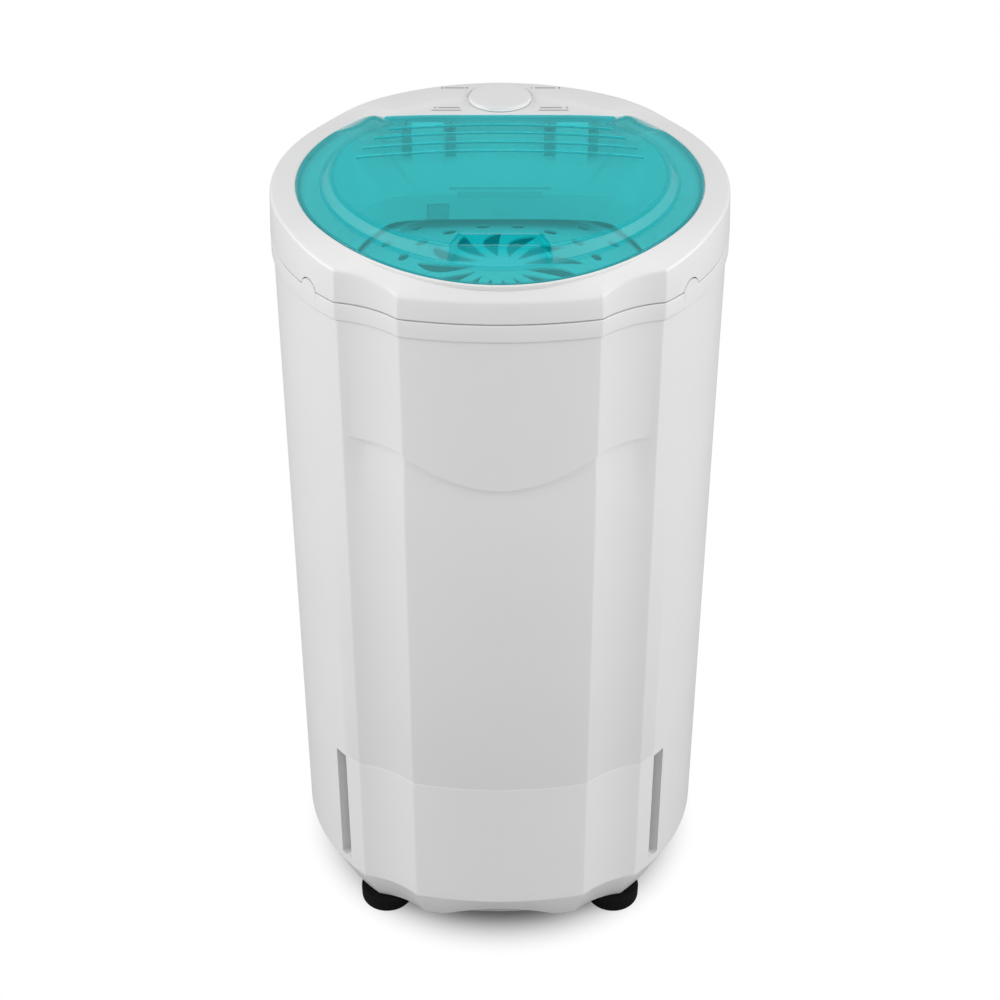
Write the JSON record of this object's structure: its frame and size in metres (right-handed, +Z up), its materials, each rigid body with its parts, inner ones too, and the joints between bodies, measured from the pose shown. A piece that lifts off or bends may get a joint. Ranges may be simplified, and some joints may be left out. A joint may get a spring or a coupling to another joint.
{
  "type": "spin_dryer",
  "caption": "Upright spin dryer with a fluted white cabinet, a white crown with a rear timer knob, a tinted hinged lid, and a spinning basket on a spring-hung motor",
  "frame": {"origin": "centre of the bounding box's bottom, on the floor under the cabinet", "axes": "+Z up, -Y towards the viewer of the front facet, +X to the viewer's right"},
  "size_m": [0.3548, 0.3408, 0.6722],
  "materials": {
    "white_plastic": "smooth moulded white plastic",
    "teal_plastic": "tinted moulded plastic, clear enough to see the mouth through",
    "white_disc_plastic": "satin moulded plastic",
    "black_rubber": "soft black rubber",
    "grey_plastic": "plain moulded plastic",
    "black_plastic": "plain moulded plastic",
    "steel": "turned or drawn steel",
    "stainless_steel": "drawn stainless sheet",
    "cast_aluminium": "as cast",
    "painted_steel": "dark painted pressing"
  },
  "bodies": {
    "cabinet": {"body_shell": "white_plastic", "base_plate": "grey_plastic", "foot_front_left": "black_rubber", "foot_front_right": "black_rubber", "foot_back_left": "black_rubber", "foot_back_right": "black_rubber", "crown": "white_plastic", "hinge_pin_left": "steel", "hinge_pin_right": "steel", "timer_switch": "black_plastic", "lid_switch_housing": "black_plastic", "spring_lower_cup_1": "black_rubber", "spring_lower_cup_2": "black_rubber", "spring_lower_cup_3": "black_rubber", "suspension_spring_1": "steel", "suspension_spring_2": "steel", "suspension_spring_3": "steel", "outer_tub": "grey_plastic", "shaft_seal": "black_rubber", "capacitor": "black_plastic", "drain_spout": "grey_plastic", "drain_pipe": "grey_plastic", "cord_gland": "black_rubber"},
    "drive_unit": {"spring_upper_cup_1": "black_rubber", "spring_upper_cup_2": "black_rubber", "spring_upper_cup_3": "black_rubber", "motor_plate": "painted_steel", "motor_lower_shield": "cast_aluminium", "stator_core": "steel", "motor_upper_shield": "cast_aluminium", "lower_bearing": "steel", "upper_bearing": "steel", "brake_post": "steel"},
    "spin_assembly": {"drive_shaft": "steel", "rotor": "steel", "brake_drum": "painted_steel", "basket": "stainless_steel", "basket_rim": "white_plastic", "basket_hub": "cast_aluminium", "hub_nut": "steel"},
    "press_disc": {"press_disc": "white_disc_plastic"},
    "lid": {"lid": "teal_plastic"},
    "timer": {"timer_knob": "white_plastic", "timer_shaft": "steel"},
    "lid_switch_plunger": {"lid_switch_plunger": "grey_plastic"},
    "brake_lever": {"brake_lever": "steel", "brake_shoe": "black_rubber"}
  },
  "joints": [
    {"name": "suspension_bounce", "type": "slide", "parent": "cabinet", "child": "drive_unit", "axis": [0, 0, 1], "range_m": [-0.003, 0.003], "stiffness_N_per_m": 20000, "springref_m": 0.0044, "deforming": ["suspension_spring_1", "suspension_spring_2", "suspension_spring_3"]},
    {"name": "basket_spin", "type": "hinge", "parent": "drive_unit", "child": "spin_assembly", "pos_m": [0, -0.00713, 0.2464], "axis": [0, 0, 1], "continuous": true},
    {"name": "press_disc_slide", "type": "slide", "parent": "spin_assembly", "child": "press_disc", "axis": [0, 0, 1], "range_m": [-0.24, 0]},
    {"name": "lid_hinge", "type": "hinge", "parent": "cabinet", "child": "lid", "pos_m": [0, 0.09327, 0.658], "axis": [-1, 0, 0], "range_deg": [0, 95]},
    {"name": "timer_turn", "type": "hinge", "parent": "cabinet", "child": "timer", "pos_m": [0, 0.13687, 0.66], "axis": [0, 0, -1], "range_deg": [0, 300]},
    {"name": "plunger_slide", "type": "slide", "parent": "cabinet", "child": "lid_switch_plunger", "axis": [0, 0, 1], "range_m": [0, 0.003]},
    {"name": "brake_pivot", "type": "hinge", "parent": "drive_unit", "child": "brake_lever", "pos_m": [0.061, -0.06213, 0.1944], "axis": [0, 0, 1], "range_deg": [0, 1.3]}
  ],
  "couplings": [
    {"joint": "plunger_slide", "follows": "lid_hinge", "m_per_rad": 0.0018},
    {"joint": "brake_pivot", "follows": "lid_hinge", "ratio": 0.0132}
  ]
}
